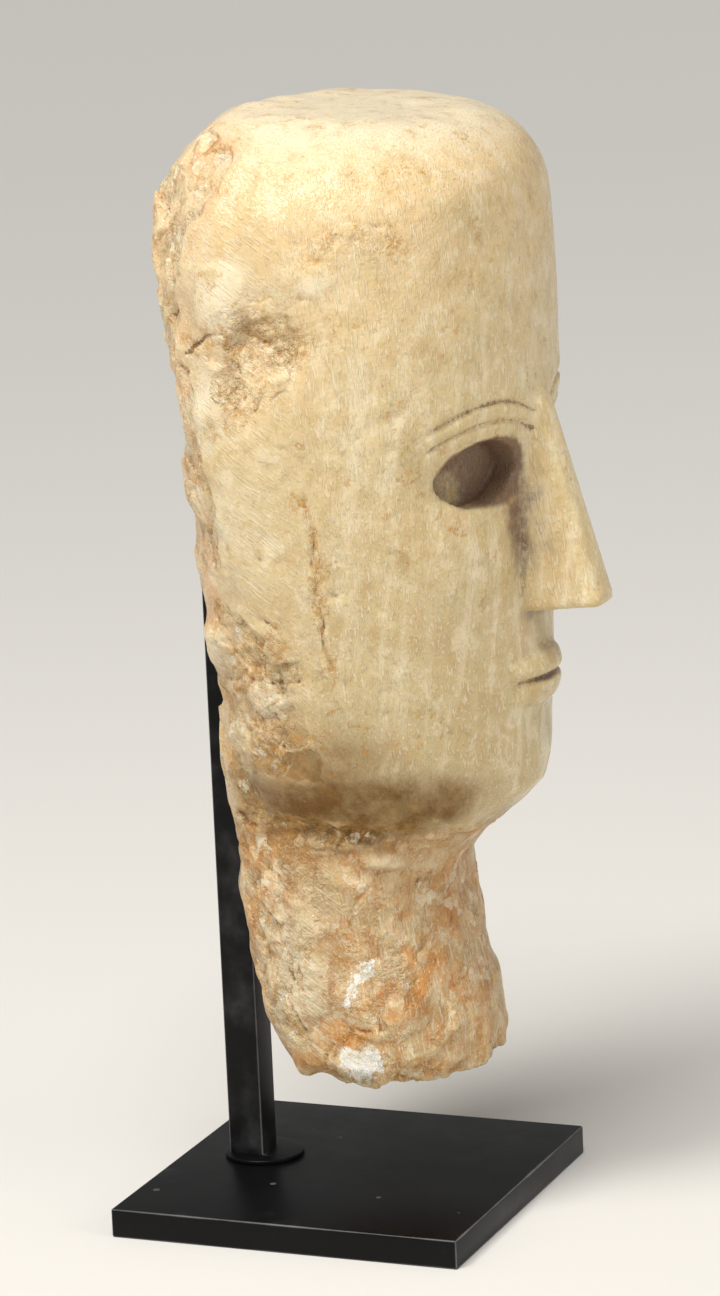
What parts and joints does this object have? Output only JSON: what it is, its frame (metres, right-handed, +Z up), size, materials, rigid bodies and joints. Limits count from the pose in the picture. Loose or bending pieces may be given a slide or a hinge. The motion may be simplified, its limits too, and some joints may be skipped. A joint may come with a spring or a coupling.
{
  "type": "carved stone head on a display stand",
  "caption": "Carved alabaster head with a long broken neck, held upright by a square steel post on a flat square base plate; stands as a display piece.",
  "frame": {"origin": "centre of the base plate's underside, on the surface it stands on", "axes": "+Z up; the face looks along -Y; the head's own left side is +X"},
  "size_m": [0.1255, 0.1305, 0.3028],
  "materials": {
    "alabaster": "worn satin, creamy and translucent, stained brown by soil",
    "black_steel": "satin black"
  },
  "bodies": {
    "root": {"head": "alabaster", "post": "black_steel", "base_plate": "black_steel"}
  },
  "joints": []
}
